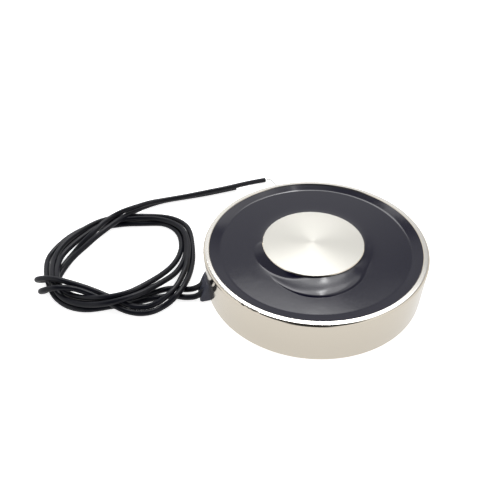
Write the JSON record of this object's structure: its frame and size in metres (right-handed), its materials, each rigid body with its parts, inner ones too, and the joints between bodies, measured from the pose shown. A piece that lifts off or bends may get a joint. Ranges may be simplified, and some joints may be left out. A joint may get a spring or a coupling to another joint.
{
  "type": "holding electromagnet",
  "caption": "Flat round pot electromagnet with a potted coil around a centre pole, a tapped hole in its back and a loosely wound pair of bare-ended leads.",
  "frame": {"origin": "centre of the back face, on the surface that the magnet stands on", "axes": "+Z out of the working face, along the pole's axis; -X towards the strain relief of the leads"},
  "size_m": [0.1842, 0.1367, 0.021],
  "materials": {
    "nickel": "bright nickel plating over turned steel",
    "nylon": "moulded",
    "copper": "enamelled copper wire",
    "tape": "polyester film",
    "epoxy": "cast, high gloss",
    "boot": "moulded, satin",
    "sleeve": "heat-shrink tube",
    "lead_pvc": "soft PVC insulation, satin",
    "tinned": "tinned copper strands"
  },
  "bodies": {
    "root": {"pot_shell": "nickel", "coil_bobbin": "nylon", "coil_winding": "copper", "winding_tape": "tape", "winding_end_a": "copper", "winding_end_b": "copper", "joint_sleeve_a": "sleeve", "joint_sleeve_b": "sleeve", "potting_resin": "epoxy", "lead_gland": "boot", "lead_exit_a": "lead_pvc", "lead_exit_b": "lead_pvc", "lead_coil": "lead_pvc", "lead_tail_a": "lead_pvc", "lead_tail_b": "lead_pvc", "tinned_tip_a": "tinned", "tinned_tip_b": "tinned"}
  },
  "joints": []
}
